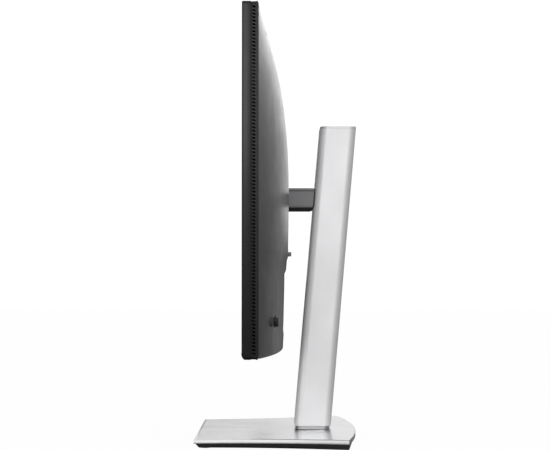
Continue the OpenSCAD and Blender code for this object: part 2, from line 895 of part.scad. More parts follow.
module column_foot() {
    color([0.5, 0.5, 0.52])
        difference() {
            union() {
                column_length(col_wall + 0.1, col_z0, col_z0 + 34);
                translate([0, foot_y, foot_recess_z + 0.1])
                    cylinder(h = col_z0 - foot_recess_z - 0.1, r = foot_disc_r);
                translate([0, foot_y, washer_z])
                    cylinder(h = 9, r = swivel_r);
            }
            leaning()
                for (sx = [-1, 1])
                    translate([sx * rod_x, rod_y, 31.5])
                        cylinder(h = 30, r = rod_r);
            translate([0, foot_y, -1])
                cylinder(h = 20, r = 3);
        }
}
module base_wedge(inset, low0, low1, top0, top1) {
    angle_low = atan((low1 - low0) / base_d);
    angle_top = atan((top1 - top0) / base_d);
    difference() {
        linear_extrude(30)
            polygon(base_outline(inset));
        translate([-500, base_y0, low0])
            rotate([angle_low, 0, 0])
                translate([0, -50, -60])
                    cube([1000, 400, 60]);
        translate([-500, base_y0, top0])
            rotate([angle_top, 0, 0])
                translate([0, -50, 0])
                    cube([1000, 400, 60]);
    }
}
module base_plate() {
    color([0.8, 0.81, 0.82])
        difference() {
            base_wedge(0, plate_low_front, plate_low_rear, base_top_front, base_top_rear);
            translate([0, foot_y, foot_recess_z])
                cylinder(h = 10, r = foot_disc_r + 0.8);
            translate([0, foot_y, 0])
                cylinder(h = 20, r = swivel_r + 0.06);
            for (p = screw_places())
                translate([p[0], p[1], 0])
                    cylinder(h = 9, r = 1.25);
        }
}
module base_ballast() {
    color([0.35, 0.35, 0.36])
        difference() {
            translate([0, 0, tray_z + 1.7])
                linear_extrude(2.4)
                    polygon(base_outline(24));
            translate([0, foot_y, 0])
                cylinder(h = 20, r = 30);
            for (p = screw_places())
                translate([p[0], p[1], 0])
                    cylinder(h = 20, r = 6);
        }
}
module under_cover() {
    color([0.12, 0.12, 0.12])
        difference() {
            union() {
                difference() {
                    base_wedge(tray_inset, tray_z, tray_z, plate_low_front, plate_low_rear);
                    base_wedge(tray_inset + 2, tray_z + 1.5, tray_z + 1.5, 20, 21);
                }
                for (p = screw_places())
                    translate([p[0], p[1], tray_z])
                        cylinder(h = 4.5, r = 5);
            }
            translate([0, foot_y, -1])
                cylinder(h = 20, r = thumb_r + 4);
            for (p = screw_places())
                translate([p[0], p[1], 0]) {
                    cylinder(h = 20, r = 1.7);
                    cylinder(h = tray_z + 2, r = 3.3);
                }
        }
}
module rubber_feet() {
    color([0.08, 0.08, 0.08])
        for (sx = [-1, 1], p = [[104, -81], [120, 69]])
            translate([sx * p[0], p[1], 0])
                rotate_extrude()
                    polygon([[0, 0], [6.6, 0], [7.3, 0.5], [7.3, tray_z], [0, tray_z]]);
}
module base_screws() {
    color([0.3, 0.3, 0.31])
        for (p = screw_places())
            translate([p[0], p[1], 0]) {
                translate([0, 0, tray_z + 0.4])
                    cylinder(h = 1.5, r = 2.9);
                translate([0, 0, tray_z + 1.9])
                    cylinder(h = 5.4, r = 1.2);
            }
}
module swivel_washer() {
    color([0.85, 0.83, 0.76])
        translate([0, foot_y, washer_z])
            difference() {
                cylinder(h = 2.6, r = 19);
                translate([0, 0, -1])
                    cylinder(h = 6, r = swivel_r + 0.06);
            }
}
module thumbscrew() {
    grips = 24;
    color([0.6, 0.61, 0.62])
        translate([0, foot_y, 0])
            difference() {
                union() {
                    translate([0, 0, tray_z + 0.2])
                        cylinder(h = 2.4, r = thumb_r);
                    translate([0, 0, tray_z + 2.5])
                        cylinder(h = 14, r = 2.95);
                }
                translate([-13, -1.2, 0])
                    cube([26, 2.4, tray_z + 1.4]);
                for (i = [0:grips - 1])
                    rotate([0, 0, i * 360 / grips])
                        translate([thumb_r + 0.4, 0, 0])
                            cylinder(h = tray_z + 3, r = 0.9);
            }
}

front_bezel();
lcd_panel();
optical_films();
light_guide();
led_bar();
reflector_sheet();
panel_pan();
source_board();
driver_flexes();
vent_frame();
rear_cover();
cover_screws();
chassis_plate();
vesa_bracket();
power_board();
power_components();
main_board();
board_chips();
board_standoffs();
board_screws();
power_cable();
panel_cable();
io_plate();
ac_inlet();
hdmi_port();
displayport();
vga_port();
usb_upstream();
usb_downstream();
control_board();
power_button();
power_led();
joystick_base();
joystick_gimbal();
joystick_pivot();
joystick_cap();
latch_body();
release_button();
mount_plate();
pivot_hub();
tilt_bracket();
tilt_shaft();
friction_washers();
tilt_spring();
neck_cover();
carriage();
slide_bushes();
spring_drum();
spring_band();
guide_rods();
column();
column_cap();
column_foot();
swivel_washer();
thumbscrew();
base_plate();
base_ballast();
under_cover();
rubber_feet();
base_screws();
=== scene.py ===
"""Looks for a desktop monitor on a height-adjustable stand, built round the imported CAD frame."""

import json
import math

import bmesh
import bpy
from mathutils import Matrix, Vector


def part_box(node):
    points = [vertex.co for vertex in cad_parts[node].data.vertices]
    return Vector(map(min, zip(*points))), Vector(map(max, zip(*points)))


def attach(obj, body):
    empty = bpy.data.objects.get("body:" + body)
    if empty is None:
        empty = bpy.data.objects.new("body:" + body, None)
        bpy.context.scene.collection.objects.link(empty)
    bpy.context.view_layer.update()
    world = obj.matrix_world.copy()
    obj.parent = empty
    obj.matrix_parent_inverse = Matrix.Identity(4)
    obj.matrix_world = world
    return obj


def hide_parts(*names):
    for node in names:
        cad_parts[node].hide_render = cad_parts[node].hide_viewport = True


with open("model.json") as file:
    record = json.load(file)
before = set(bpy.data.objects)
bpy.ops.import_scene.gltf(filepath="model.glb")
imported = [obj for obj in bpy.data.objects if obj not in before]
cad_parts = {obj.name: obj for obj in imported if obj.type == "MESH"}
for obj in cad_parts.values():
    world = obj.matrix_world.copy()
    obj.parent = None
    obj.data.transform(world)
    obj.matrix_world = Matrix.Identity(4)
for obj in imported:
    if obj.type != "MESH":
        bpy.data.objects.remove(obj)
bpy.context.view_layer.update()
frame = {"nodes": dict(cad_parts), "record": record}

MM = 0.001

# Places and sizes taken from the frame
bezel_low, bezel_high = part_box("front_bezel")
vent_low, vent_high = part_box("vent_frame")
neck_low, neck_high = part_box("neck_cover")
column_low, column_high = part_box("column")
cap_low, cap_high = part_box("column_cap")
plate_low, plate_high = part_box("base_plate")
tray_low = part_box("under_cover")[0]
shaft_low, shaft_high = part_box("tilt_shaft")
washer_low, washer_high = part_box("swivel_washer")
power_low, power_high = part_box("power_button")
stick_low, stick_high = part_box("joystick_cap")
release_low, release_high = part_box("release_button")
led_low, led_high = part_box("power_led")
screen_low, screen_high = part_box("lcd_panel")
ports_low, ports_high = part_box("io_plate")
screws_low, screws_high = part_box("cover_screws")

HALF_W = bezel_high.x
HEAD_LOW = bezel_low.z
HEAD_TOP = bezel_high.z
AXIS_Z = (shaft_low.z + shaft_high.z) / 2
FOOT_Y = (washer_low.y + washer_high.y) / 2
COLUMN_LIFT = 1.9 * MM  # the column's lean is counted from this far above its lower end
COLUMN_Z0 = column_low.z + COLUMN_LIFT
COLUMN_CORNER = 9 * MM
LEAN = math.radians(5)

# The rear cover's shape, the same formula as the CAD's
VENT_BACK = vent_high.y
RIM_Y = bezel_high.y + 4.1 * MM  # where the bulge starts
DOME = 35.3 * MM  # depth of the full bulge
CROWN_Z = AXIS_Z + 8 * MM  # height of the deepest place
LOW_SHARES = [  # height above the head's lower edge in mm, share of the full bulge
    (0, 0.8), (17, 0.822), (35, 0.842), (71, 0.869), (90, 0.876), (93, 0.908), (104, 0.932), (108, 0.97)]
LOWER_FALL = 0.03  # share of the bulge lost from the crown down to the step
STEP_TOP = HEAD_LOW + LOW_SHARES[-1][0] * MM
EDGE_X = HALF_W - 1.5 * MM
EDGE_GAP = 0.6 * MM
WALL = 2.2 * MM
ACROSS_POWER = 2.55  # how squarely the bulge falls off to the sides
POCKET = 60 * MM  # half the width of the stand's mount recess
RECESS_CORNER = 3 * MM
IO_HALF = 92 * MM  # half the width of the connector recess
IO_LOW = ports_low.z - 71 * MM
IO_HIGH = ports_low.z
IO_FLOOR = ports_low.y - 0.3 * MM


def bulge_up(z):
    """Share of the full bulge at a height, at the middle of the width."""
    if z >= CROWN_Z:
        return math.sqrt(max(0.0, 1 - ((z - CROWN_Z) / (HEAD_TOP - CROWN_Z)) ** 2))
    if z >= STEP_TOP:
        return 1 - LOWER_FALL * ((CROWN_Z - z) / (CROWN_Z - STEP_TOP)) ** 2
    height = max(0.0, (z - HEAD_LOW) / MM)
    for (z0, share0), (z1, share1) in zip(LOW_SHARES, LOW_SHARES[1:]):
        if height <= z1:
            return share0 + (share1 - share0) * (height - z0) / (z1 - z0)
    return LOW_SHARES[-1][1]


def cover_y(x, z, depth=DOME):
    """Depth of the cover's surface at a place on the back."""
    across = max(0.0, 1 - (abs(x) / EDGE_X) ** ACROSS_POWER)
    return VENT_BACK + (RIM_Y + depth * bulge_up(z) - VENT_BACK) * across


# ---------------------------------------------------------------- mesh tools
WELD = 1e-6
SLIVER = 1e-7


def make(name, verts, faces, crease=35):
    """A mesh object, smooth apart from edges sharper than crease degrees."""
    mesh = bpy.data.meshes.new(name)
    mesh.from_pydata([tuple(v) for v in verts], [], faces)
    obj = bpy.data.objects.new(name, mesh)
    bpy.context.scene.collection.objects.link(obj)
    return tidy(obj, crease)


def tidy(obj, crease=35):
    """Welds, turns the faces outwards and sets smooth shading."""
    bm = bmesh.new()
    bm.from_mesh(obj.data)
    bmesh.ops.remove_doubles(bm, verts=bm.verts, dist=WELD)
    bmesh.ops.dissolve_degenerate(bm, edges=bm.edges, dist=SLIVER)
    bmesh.ops.recalc_face_normals(bm, faces=bm.faces)
    bm.to_mesh(obj.data)
    bm.free()
    obj.data.shade_smooth()
    obj.data.set_sharp_from_angle(angle=math.radians(crease))
    return obj


def loft(name, rings, closed=False, crease=35):
    """Skins rings of equal length; closed joins the last ring to the first."""
    count = len(rings[0])
    verts = [p for ring in rings for p in ring]
    faces = []
    for i in range(len(rings) if closed else len(rings) - 1):
        a, b = i * count, (i + 1) % len(rings) * count
        for k in range(count):
            n = (k + 1) % count
            faces.append((a + k, a + n, b + n, b + k))
    if not closed:
        faces.append(tuple(range(count)))
        faces.append(tuple(range(len(verts) - count, len(verts))))
    return make(name, verts, faces, crease)


def lathe(name, x, z, profile, sides=64, ribs=0, rib_depth=0.0):
    """A turned piece about a line along Y: profile is (y, radius) from one end to the other."""
    rings = []
    for y, radius in profile:
        ring = []
        for k in range(sides):
            a = 2 * math.pi * k / sides
            r = radius * (1 - rib_depth * (0.5 + 0.5 * math.cos(ribs * a)))
            ring.append((x + r * math.cos(a), y, z + r * math.sin(a)))
        rings.append(ring)
    return loft(name, rings, crease=40)


def rounded_rect(x0, x1, z0, z1, radii, steps=6):
    """Corner arcs of a rectangle in X and Z, from the lower right, anticlockwise as seen from behind."""
    corners = [(x1, z0, -1, 1, -90), (x1, z1, -1, -1, 0), (x0, z1, 1, -1, 90), (x0, z0, 1, 1, 180)]
    points = []
    for (cx, cz, sx, sz, start), r in zip(corners, radii):
        for i in range(steps + 1):
            a = math.radians(start + 90 * i / steps)
            points.append((cx + sx * r + r * math.cos(a), cz + sz * r + r * math.sin(a)))
    return points


def slab(name, x0, x1, y0, y1, z0, z1, radius=0.0005):
    """A plate between two depths with round corners, used to cut recesses."""
    outline = rounded_rect(x0, x1, z0, z1, [radius] * 4)
    return loft(name, [[(x, y, z) for x, z in outline] for y in (y0, y1)])


def cut(obj, cutters, crease=35):
    """Takes the cutters' shapes out of a piece and removes them."""
    for cutter in cutters:
        m = obj.modifiers.new("cut", "BOOLEAN")
        m.operation, m.solver, m.object = "DIFFERENCE", "EXACT", cutter
    bpy.context.view_layer.update()
    graph = bpy.context.evaluated_depsgraph_get()
    mesh = bpy.data.meshes.new_from_object(obj.evaluated_get(graph))
    obj.modifiers.clear()
    obj.data = mesh
    for cutter in cutters:
        bpy.data.objects.remove(cutter)
    return tidy(obj, crease)


def join(name, objects):
    """One object from several that don't overlap."""
    bm = bmesh.new()
    for o in objects:
        bm.from_mesh(o.data)
        bpy.data.objects.remove(o)
    mesh = bpy.data.meshes.new(name)
    bm.to_mesh(mesh)
    bm.free()
    obj = bpy.data.objects.new(name, mesh)
    bpy.context.scene.collection.objects.link(obj)
    return obj


def piece(obj, body, node, slot, *materials):
    """Puts a piece on its body in place of a CAD node."""
    kept = [face.material_index for face in obj.data.polygons]
    obj.data.materials.clear()
    for material in materials:
        obj.data.materials.append(material)
    if len(materials) > 1:
        obj.data.polygons.foreach_set("material_index", kept)
    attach(obj, body)
    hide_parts(node)
    return obj


# ---------------------------------------------------------------- materials
class Shader:
    """A node material with the few node kinds used here; noise scales are roughly waves per metre."""

    def __init__(self, name):
        self.material = bpy.data.materials.new(name)
        self.material.use_nodes = True
        self.tree = self.material.node_tree
        self.bsdf = self.tree.nodes["Principled BSDF"]
        self.place = self.add("ShaderNodeTexCoord").outputs["Object"]

    def add(self, kind):
        return self.tree.nodes.new(kind)

    def link(self, a, b):
        self.tree.links.new(a, b)

    def stretched(self, scale):
        node = self.add("ShaderNodeMapping")
        node.inputs["Scale"].default_value = scale
        self.link(self.place, node.inputs["Vector"])
        return node.outputs["Vector"]

    def noise(self, scale, detail=3.0, where=None):
        node = self.add("ShaderNodeTexNoise")
        node.inputs["Scale"].default_value = scale
        node.inputs["Detail"].default_value = detail
        self.link(where or self.place, node.inputs["Vector"])
        return node.outputs["Fac"]

    def cells(self, scale):
        node = self.add("ShaderNodeTexVoronoi")
        node.inputs["Scale"].default_value = scale
        self.link(self.place, node.inputs["Vector"])
        return node.outputs["Distance"]

    def spread(self, value, low, high, start=0.3, end=0.7):
        node = self.add("ShaderNodeMapRange")
        for name, number in (("From Min", start), ("From Max", end), ("To Min", low), ("To Max", high)):
            node.inputs[name].default_value = number
        self.link(value, node.inputs["Value"])
        return node.outputs["Result"]

    def tones(self, value, dark, light, start=0.3, end=0.7):
        node = self.add("ShaderNodeValToRGB")
        node.color_ramp.elements[0].position = start
        node.color_ramp.elements[1].position = end
        node.color_ramp.elements[0].color = (*dark, 1)
        node.color_ramp.elements[1].color = (*light, 1)
        self.link(value, node.inputs["Fac"])
        return node.outputs["Color"]

    def mix(self, share, a, b):
        node = self.add("ShaderNodeMix")
        node.data_type = "RGBA"
        self.link(share, node.inputs[0])
        self.link(a, node.inputs[6])
        self.link(b, node.inputs[7])
        return node.outputs[2]

    def math(self, kind, a, b):
        node = self.add("ShaderNodeMath")
        node.operation = kind
        for value, socket in ((a, node.inputs[0]), (b, node.inputs[1])):
            if isinstance(value, (int, float)):
                socket.default_value = value
            else:
                self.link(value, socket)
        return node.outputs[0]

    def bump(self, height, strength, distance, under=None):
        node = self.add("ShaderNodeBump")
        node.inputs["Strength"].default_value = strength
        node.inputs["Distance"].default_value = distance
        self.link(height, node.inputs["Height"])
        if under is not None:
            self.link(under, node.inputs["Normal"])
        return node.outputs["Normal"]


def around(colour, share):
    """The colour made darker and lighter by a share."""
    return tuple(c * (1 - share) for c in colour), tuple(min(1, c * (1 + share)) for c in colour)


def moulded(name, colour, roughness, specular=0.5, grain=1500, depth=0.00006, vary=0.1):
    """Moulded plastic: spark-eroded grain, faint clouding and handling marks in the gloss."""
    s = Shader(name)
    clouds = s.noise(scale=9, detail=2)
    speck = s.noise(scale=grain * 0.7, detail=2)
    lighter, handling = 1.25, 0.03
    pale = tuple(c * lighter for c in colour)
    s.link(s.mix(s.spread(speck, 0, 1), s.tones(clouds, *around(colour, vary)),
                 s.tones(clouds, *around(pale, vary))), s.bsdf.inputs["Base Color"])
    marks = s.noise(scale=35, detail=4)
    s.link(s.spread(marks, roughness - handling, roughness + handling), s.bsdf.inputs["Roughness"])
    pits = s.bump(s.cells(grain), strength=0.5, distance=depth)
    grit = s.noise(scale=grain * 0.5, detail=2)
    s.link(s.bump(grit, strength=0.35, distance=depth, under=pits), s.bsdf.inputs["Normal"])
    s.bsdf.inputs["Specular IOR Level"].default_value = specular
    return s.material


def metal(name, colour, roughness, stretch=(1, 1, 1), grain=1800, depth=0.00003, vary=0.04, metallic=1.0):
    """Bead-blasted or brushed metal; stretch draws the grain out along one axis."""
    s = Shader(name)
    fine = s.noise(grain, 3, s.stretched(stretch))
    wide = s.noise(scale=14, detail=3)
    darker, fine_gloss, wide_gloss = 0.97, 0.05, 0.04
    s.link(s.mix(s.spread(fine, 0, 1), s.tones(wide, *around(tuple(c * darker for c in colour), vary)),
                 s.tones(wide, *around(colour, vary))), s.bsdf.inputs["Base Color"])
    streaks = s.spread(fine, -fine_gloss, fine_gloss)
    smears = s.spread(s.noise(scale=22, detail=4), roughness - wide_gloss, roughness + wide_gloss)
    s.link(s.math("ADD", streaks, smears), s.bsdf.inputs["Roughness"])
    s.link(s.bump(fine, strength=0.3, distance=depth), s.bsdf.inputs["Normal"])
    s.bsdf.inputs["Metallic"].default_value = metallic
    return s.material


def board(name, colour):
    """Circuit board: solder mask with faint copper tracks under it."""
    s = Shader(name)
    tracks = s.noise(420, 1, s.stretched((1, 1, 0.08)))
    s.link(s.tones(tracks, *around(colour, 0.3), start=0.48, end=0.56), s.bsdf.inputs["Base Color"])
    s.link(s.spread(s.noise(scale=60, detail=3), low=0.3, high=0.45), s.bsdf.inputs["Roughness"])
    s.link(s.bump(tracks, strength=0.4, distance=0.0001), s.bsdf.inputs["Normal"])
    return s.material


def screen_glass():
    """Anti-glare panel: near-black picture area inside a blacker printed border."""
    s = Shader("screen_glass")
    split = s.add("ShaderNodeSeparateXYZ")
    s.link(s.place, split.inputs[0])
    middle = (screen_low.z + screen_high.z) / 2
    border = 2.5 * MM
    wide = s.math("LESS_THAN", s.math("ABSOLUTE", split.outputs[0], 0), screen_high.x - border)
    high = s.math("ABSOLUTE", s.math("SUBTRACT", split.outputs[2], middle), 0)
    tall = s.math("LESS_THAN", high, (screen_high.z - screen_low.z) / 2 - border)
    haze = s.noise(scale=5, detail=2)
    picture = s.tones(haze, (0.011, 0.012, 0.015), (0.015, 0.016, 0.02))
    edge = s.tones(haze, (0.004, 0.004, 0.004), (0.006, 0.006, 0.006))
    s.link(s.mix(s.math("MULTIPLY", wide, tall), edge, picture), s.bsdf.inputs["Base Color"])
    s.link(s.spread(s.noise(scale=30, detail=4), low=0.2, high=0.27), s.bsdf.inputs["Roughness"])
    s.link(s.bump(s.noise(scale=2600, detail=2), strength=0.15, distance=0.00002), s.bsdf.inputs["Normal"])
    return s.material


def wound(name, colour, roughness, stretch):
    """Ribbed or wound surfaces such as cable jackets and ribbon."""
    s = Shader(name)
    ribs = s.noise(900, 1, s.stretched(stretch))
    s.link(s.tones(ribs, *around(colour, 0.2)), s.bsdf.inputs["Base Color"])
    wear = 0.08
    gloss = s.spread(s.noise(scale=40, detail=3), roughness - wear, roughness + wear)
    s.link(gloss, s.bsdf.inputs["Roughness"])
    s.link(s.bump(ribs, strength=0.5, distance=0.0002), s.bsdf.inputs["Normal"])
    return s.material


SHELL_COLOUR = (0.034, 0.034, 0.037)
BEZEL_COLOUR = (0.011, 0.011, 0.0115)
SILVER_COLOUR = (0.80, 0.80, 0.81)
MATERIALS = {
    "dark_shell": moulded("dark_shell", SHELL_COLOUR, 0.35, 0.2, vary=0.05),
    "dark_bezel": moulded("dark_bezel", BEZEL_COLOUR, 0.42, 0.2),
    "vent_grey": moulded("vent_grey", (0.021, 0.021, 0.022), 0.5, 0.15),
    # painted shade: near-black for the walls inside the vent slots, in place of their shade
    "vent_slot_shade": moulded("vent_slot_shade", (0.002, 0.002, 0.002), 0.7, 0.05),
    "mid_grey": moulded("mid_grey", (0.19, 0.19, 0.196), 0.42, 0.3),
    # painted light: the shell's plastic made lighter for the power key and joystick, in place of light they
    # don't get
    "control_painted_light": moulded("control_painted_light", (0.085, 0.085, 0.088), 0.45, 0.3),
    # painted shade for the neck's underside and its strip by the column, and the dark of its parting line
    "shade_and_seam_black": moulded("shade_and_seam_black", (0.03, 0.03, 0.03), 0.6, 0.2),
    "tray_grey": moulded("tray_grey", (0.075, 0.075, 0.077), 0.5, 0.3),
    "black_plastic": moulded("black_plastic", (0.036, 0.036, 0.038), 0.42, 0.4),
    "screen_glass": screen_glass(),
    "clear_acrylic": moulded("clear_acrylic", (0.75, 0.82, 0.85), 0.15, 0.5, 600),
    "white_film": moulded("white_film", (0.85, 0.85, 0.87), 0.5, 0.5, 900),
    "led_strip": moulded("led_strip", (0.85, 0.8, 0.5), 0.4, 0.5, 900),
    "zinc_steel": metal("zinc_steel", (0.62, 0.63, 0.65), 0.38, grain=260, vary=0.12),
    "screw_steel": metal("screw_steel", (0.22, 0.22, 0.23), 0.35),
    "green_board": board("green_board", (0.02, 0.14, 0.05)),
    "brown_board": board("brown_board", (0.32, 0.2, 0.07)),
    "board_parts": moulded("board_parts", (0.35, 0.27, 0.08), 0.4),
    "chip_black": moulded("chip_black", (0.012, 0.012, 0.013), 0.55),
    "flex_amber": wound("flex_amber", (0.45, 0.2, 0.03), 0.3, (1, 1, 0.1)),
    "cable_black": wound("cable_black", (0.012, 0.012, 0.012), 0.45, (0.2, 1, 1)),
    "ribbon_grey": wound("ribbon_grey", (0.5, 0.5, 0.48), 0.45, (1, 1, 0.05)),
    "port_metal": metal("port_metal", (0.68, 0.68, 0.7), 0.24, (1, 1, 0.2), 900),
    "port_blue": moulded("port_blue", (0.01, 0.05, 0.3), 0.4),
    "led_lens": moulded("led_lens", (0.75, 0.77, 0.8), 0.25, 0.5, 900),
    "brass": metal("brass", (0.75, 0.52, 0.2), 0.28),
    "bearing_polymer": moulded("bearing_polymer", (0.7, 0.67, 0.58), 0.4),
    "cast_grey": metal("cast_grey", (0.14, 0.14, 0.145), 0.5,
                       grain=700, depth=0.00012, vary=0.1, metallic=0.6),
    "shaft_steel": metal("shaft_steel", (0.6, 0.6, 0.62), 0.25, (1, 1, 0.1), 900),
    "satin_silver": metal("satin_silver", SILVER_COLOUR, 0.5, (1, 1, 0.12), 1500, metallic=0.4),
    "base_silver": metal("base_silver", (0.92, 0.92, 0.93), 0.22, (0.12, 1, 1), 1500),
    # painted shade: darker steel for the column's set-in skirt, standing in for the shade under the column
    "skirt_painted_shade": metal("skirt_painted_shade", (0.36, 0.36, 0.37), 0.35),
    "ballast_steel": metal("ballast_steel", (0.2, 0.2, 0.21), 0.5, grain=200, vary=0.2),
    "foot_rubber": moulded("foot_rubber", (0.012, 0.012, 0.012), 0.75, 0.3, 900, 0.0001),
}

for row in frame["record"]["subparts"]:
    mesh = frame["nodes"][row["node"]].data
    mesh.materials.clear()
    mesh.materials.append(MATERIALS[row["material_slot"]])


# ---------------------------------------------------------------- rear cover
def dome(name, inset, columns, rows):
    """Closed solid behind the vent frame, smaller all round by inset, with a softly rounded lower edge."""
    edge = EDGE_X - inset
    low, high = HEAD_LOW + EDGE_GAP + inset, HEAD_TOP - EDGE_GAP - inset
    soft = 1.6 * MM
    turns = (0, 0.4, 0.8, 1.2)  # radians round the lower edge
    levels = [(low + soft * (1 - math.cos(a)), soft * (1 - math.sin(a))) for a in turns]  # height, drop
    levels += [(HEAD_LOW + row[0] * MM, 0) for row in LOW_SHARES[1:-1]]
    levels += [(STEP_TOP + (CROWN_Z - STEP_TOP) * i / rows, 0) for i in range(rows)]
    last = math.asin((high - CROWN_Z) / (HEAD_TOP - CROWN_Z))
    levels += [(CROWN_Z + (HEAD_TOP - CROWN_Z) * math.sin(last * i / (2 * rows)), 0)
               for i in range(2 * rows + 1)]
    xs = [edge * math.sin(math.pi / 2 * i / columns) for i in range(-columns, columns + 1)]
    front = VENT_BACK + (0 if inset == 0 else -MM)  # the hollow reaches past the open side
    past = 0.02 * MM
    verts = [(x, max(VENT_BACK, cover_y(x * EDGE_X / edge, z, DOME - inset) - drop), z)
             for z, drop in levels for x in xs]
    wide, tall = len(xs), len(levels)
    faces = [(r * wide + c, r * wide + c + 1, (r + 1) * wide + c + 1, (r + 1) * wide + c)
             for r in range(tall - 1) for c in range(wide - 1)]
    rim = list(range(wide)) + [r * wide + wide - 1 for r in range(1, tall)]
    rim += [(tall - 1) * wide + c for c in range(wide - 2, -1, -1)]
    rim += [r * wide for r in range(tall - 2, 0, -1)]
    start = len(verts)
    verts += [(verts[i][0], front - past, verts[i][2]) for i in rim]
    for k in range(len(rim)):
        n = (k + 1) % len(rim)
        faces.append((rim[k], rim[n], start + n, start + k))
    faces.append(tuple(range(start, start + len(rim))))
    return make(name, verts, faces, 40)


def make_rear_cover():
    far, deep = 40 * MM, -30 * MM  # well outside and well inside the shell
    stick_x, stick_z = (stick_low.x + stick_high.x) / 2, (stick_low.z + stick_high.z) / 2
    power_x = (power_low.x + power_high.x) / 2
    stick_face = cover_y(stick_x, stick_z)
    power_face = cover_y(power_x, stick_z)
    release_z = (release_low.z + release_high.z) / 2 + 1.25 * MM
    release_half, release_below, release_above = 10.8 * MM, 5.6 * MM, 3.2 * MM
    lock_left, lock_right = -133.5 * MM, -126.5 * MM
    lock_low, lock_high = HEAD_LOW + 25.5 * MM, HEAD_LOW + 28.5 * MM
    screw_z = (screws_low.z + screws_high.z) / 2
    screw_xs, screw_r = (-230 * MM, 0, 230 * MM), 3.6 * MM
    power_r, power_dish = 4.3 * MM, 5.8 * MM
    stick_r, stick_well, stick_rim, stick_dish, stick_boss = 3.4 * MM, 7 * MM, 7.2 * MM, 7.6 * MM, 14 * MM
    hub_r, vesa, vesa_r = 14 * MM, 50 * MM, 5 * MM
    wall_corner, play = 5 * MM, 0.2 * MM
    shell = dome("rear_cover_shell", 0, 60, 22)
    hollow = dome("hollow", WALL, 30, 10)
    grown = [
        slab("pocket_wall", -POCKET - WALL, POCKET + WALL, -WALL, far,
             AXIS_Z - POCKET - WALL, AXIS_Z + POCKET + WALL, wall_corner),
        slab("recess_wall", -IO_HALF - WALL, IO_HALF + WALL, IO_FLOOR - WALL, far,
             IO_LOW - WALL, IO_HIGH + WALL, wall_corner),
        lathe("stick_wall", stick_x, stick_z,
              [(-8.5 * MM, 9 * MM), (-6 * MM, stick_boss), (far, stick_boss)]),
    ]
    hollow = cut(hollow, grown)
    cut(shell, [hollow])
    cut(shell, [join("recesses", [
        slab("pocket", -POCKET, POCKET, 0, far, AXIS_Z - POCKET, AXIS_Z + POCKET, RECESS_CORNER),
        slab("recess", -IO_HALF, IO_HALF, IO_FLOOR, far, IO_LOW, IO_HIGH, RECESS_CORNER),
    ])])
    holes = [
        slab("ports", ports_low.x - play, ports_high.x + play,
             ports_low.y - play / 2, ports_high.y + play / 2,
             IO_HIGH - MM, IO_HIGH + 3.2 * MM, play / 2),
        slab("release", -release_half, release_half, -8 * MM, far,
             release_z - release_below, release_z + release_above, MM),
        slab("lock", lock_left, lock_right, -10 * MM, far, lock_low, lock_high, MM),
        lathe("power_hole", power_x, stick_z, [(deep, power_r), (power_face - 0.9 * MM, power_r),
                                               (power_face + 0.2 * MM, power_dish), (far, power_dish)]),
        lathe("stick_hole", stick_x, stick_z, [(deep, stick_r), (stick_face - 2.6 * MM, stick_r),
                                               (stick_face - 2.5 * MM, stick_well),
                                               (stick_face - 0.3 * MM, stick_rim),
                                               (stick_face + 0.3 * MM, stick_dish), (far, stick_dish)]),
        lathe("hub_hole", 0, AXIS_Z, [(-8 * MM, hub_r), (MM, hub_r)]),
    ]
    holes += [lathe("screw_hole", x, screw_z, [(deep, screw_r), (far, screw_r)], sides=40) for x in screw_xs]
    holes += [lathe("vesa_hole", sx * vesa, AXIS_Z + sz * vesa, [(-8 * MM, vesa_r), (MM, vesa_r)], sides=40)
              for sx in (-1, 1) for sz in (-1, 1)]
    cut(shell, [join("holes", holes)], crease=30)
    return piece(shell, "head", "rear_cover", "dark_shell", MATERIALS["dark_shell"])


# ---------------------------------------------------------------- front frame and vent frame
VENTS = 98
VENT_MARGIN = 4.5 * MM
VENT_PITCH = (HEAD_TOP - HEAD_LOW - 2 * VENT_MARGIN) / VENTS
VENT_LOW = HEAD_LOW + VENT_MARGIN
VENT_HIGH = VENT_LOW + VENTS * VENT_PITCH


def frame_ring(side, bottom, top, radius, y):
    """A loop of the head's outline drawn in by side, bottom and top, with extra points at the vents' ends."""
    half, low, high = HALF_W - side, HEAD_LOW + bottom, HEAD_TOP - top
    ring = rounded_rect(-half, half, low, high, [radius] * 4)
    arc = len(ring) // 4
    right = [(half, VENT_LOW), (half, VENT_HIGH)]
    left = [(-half, VENT_HIGH), (-half, VENT_LOW)]
    ring = ring[:arc] + right + ring[arc:3 * arc] + left + ring[3 * arc:]
    return [(x, y, z) for x, z in ring]


def make_front_frame():
    face = bezel_low.y
    spec = [  # side, bottom, top, corner radius, depth behind the screen face; in mm
        (2.2, 13, 2.2, 0.6, 1.4), (2.2, 13, 2.2, 0.6, 0.25), (2.0, 12.8, 2.0, 0.7, 0),
        (1.1, 3.7, 1.1, 2.0, 0), (0.45, 3.1, 0.45, 2.6, 0.2), (0.1, 2.3, 0.1, 2.9, 0.7),
        (0, 1.7, 0, 3.0, 1.1), (0, 0.2, 0, 3.0, 2.5), (0, 0, 0, 3.0, 2.8), (0, 0, 0, 3.0, 8.6), (0.1, 0.1, 0.1, 3.0, 8.8),
        (0.6, 0.6, 0.6, 3.0, 10.2), (1.6, 1.8, 1.6, 2.0, 10.2), (1.6, 1.8, 1.6, 2.0, 1.4)]
    rings = [frame_ring(a * MM, b * MM, t * MM, r * MM, face + d * MM) for a, b, t, r, d in spec]
    obj = loft("front_frame", rings, closed=True, crease=50)
    window = 0.1 * MM
    cut(obj, [slab("led_window", led_low.x - window, led_high.x + window, face - MM, face + 3 * MM,
                   led_low.z - window, led_high.z + window, 0.3 * MM)], crease=50)
    return piece(obj, "head", "front_bezel", "dark_shell", MATERIALS["dark_bezel"])


